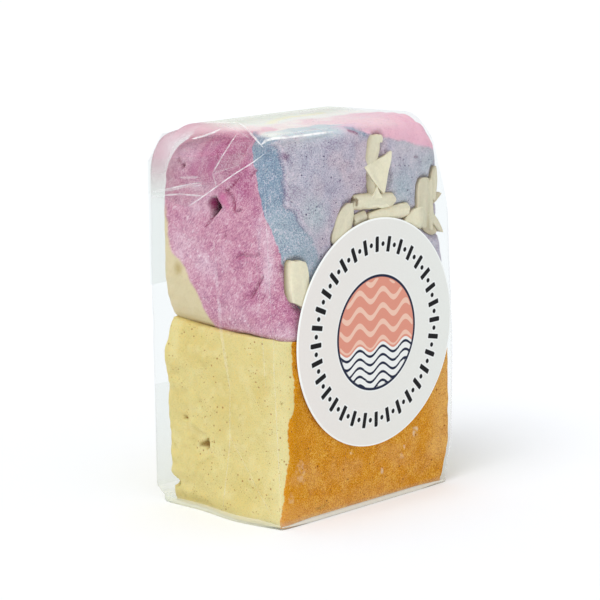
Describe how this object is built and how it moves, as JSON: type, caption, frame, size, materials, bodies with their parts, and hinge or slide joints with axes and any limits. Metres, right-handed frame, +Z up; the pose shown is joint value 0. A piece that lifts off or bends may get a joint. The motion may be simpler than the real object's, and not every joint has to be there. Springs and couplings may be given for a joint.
{
  "type": "marshmallow pack",
  "caption": "Marshmallow blocks stacked in a clear folded side-gusset bag, with a round paper label on the front.",
  "frame": {"origin": "middle of the pack's foot, on the surface it stands on", "axes": "+Z up, the label faces -Y, the blocks' narrow cut side faces -X"},
  "size_m": [0.0578, 0.038, 0.0843],
  "materials": {
    "film": "clear glossy film, creased at its folds",
    "paper": "satin coated paper"
  },
  "bodies": {
    "root": {"bag": "film", "label": "paper"}
  },
  "joints": []
}
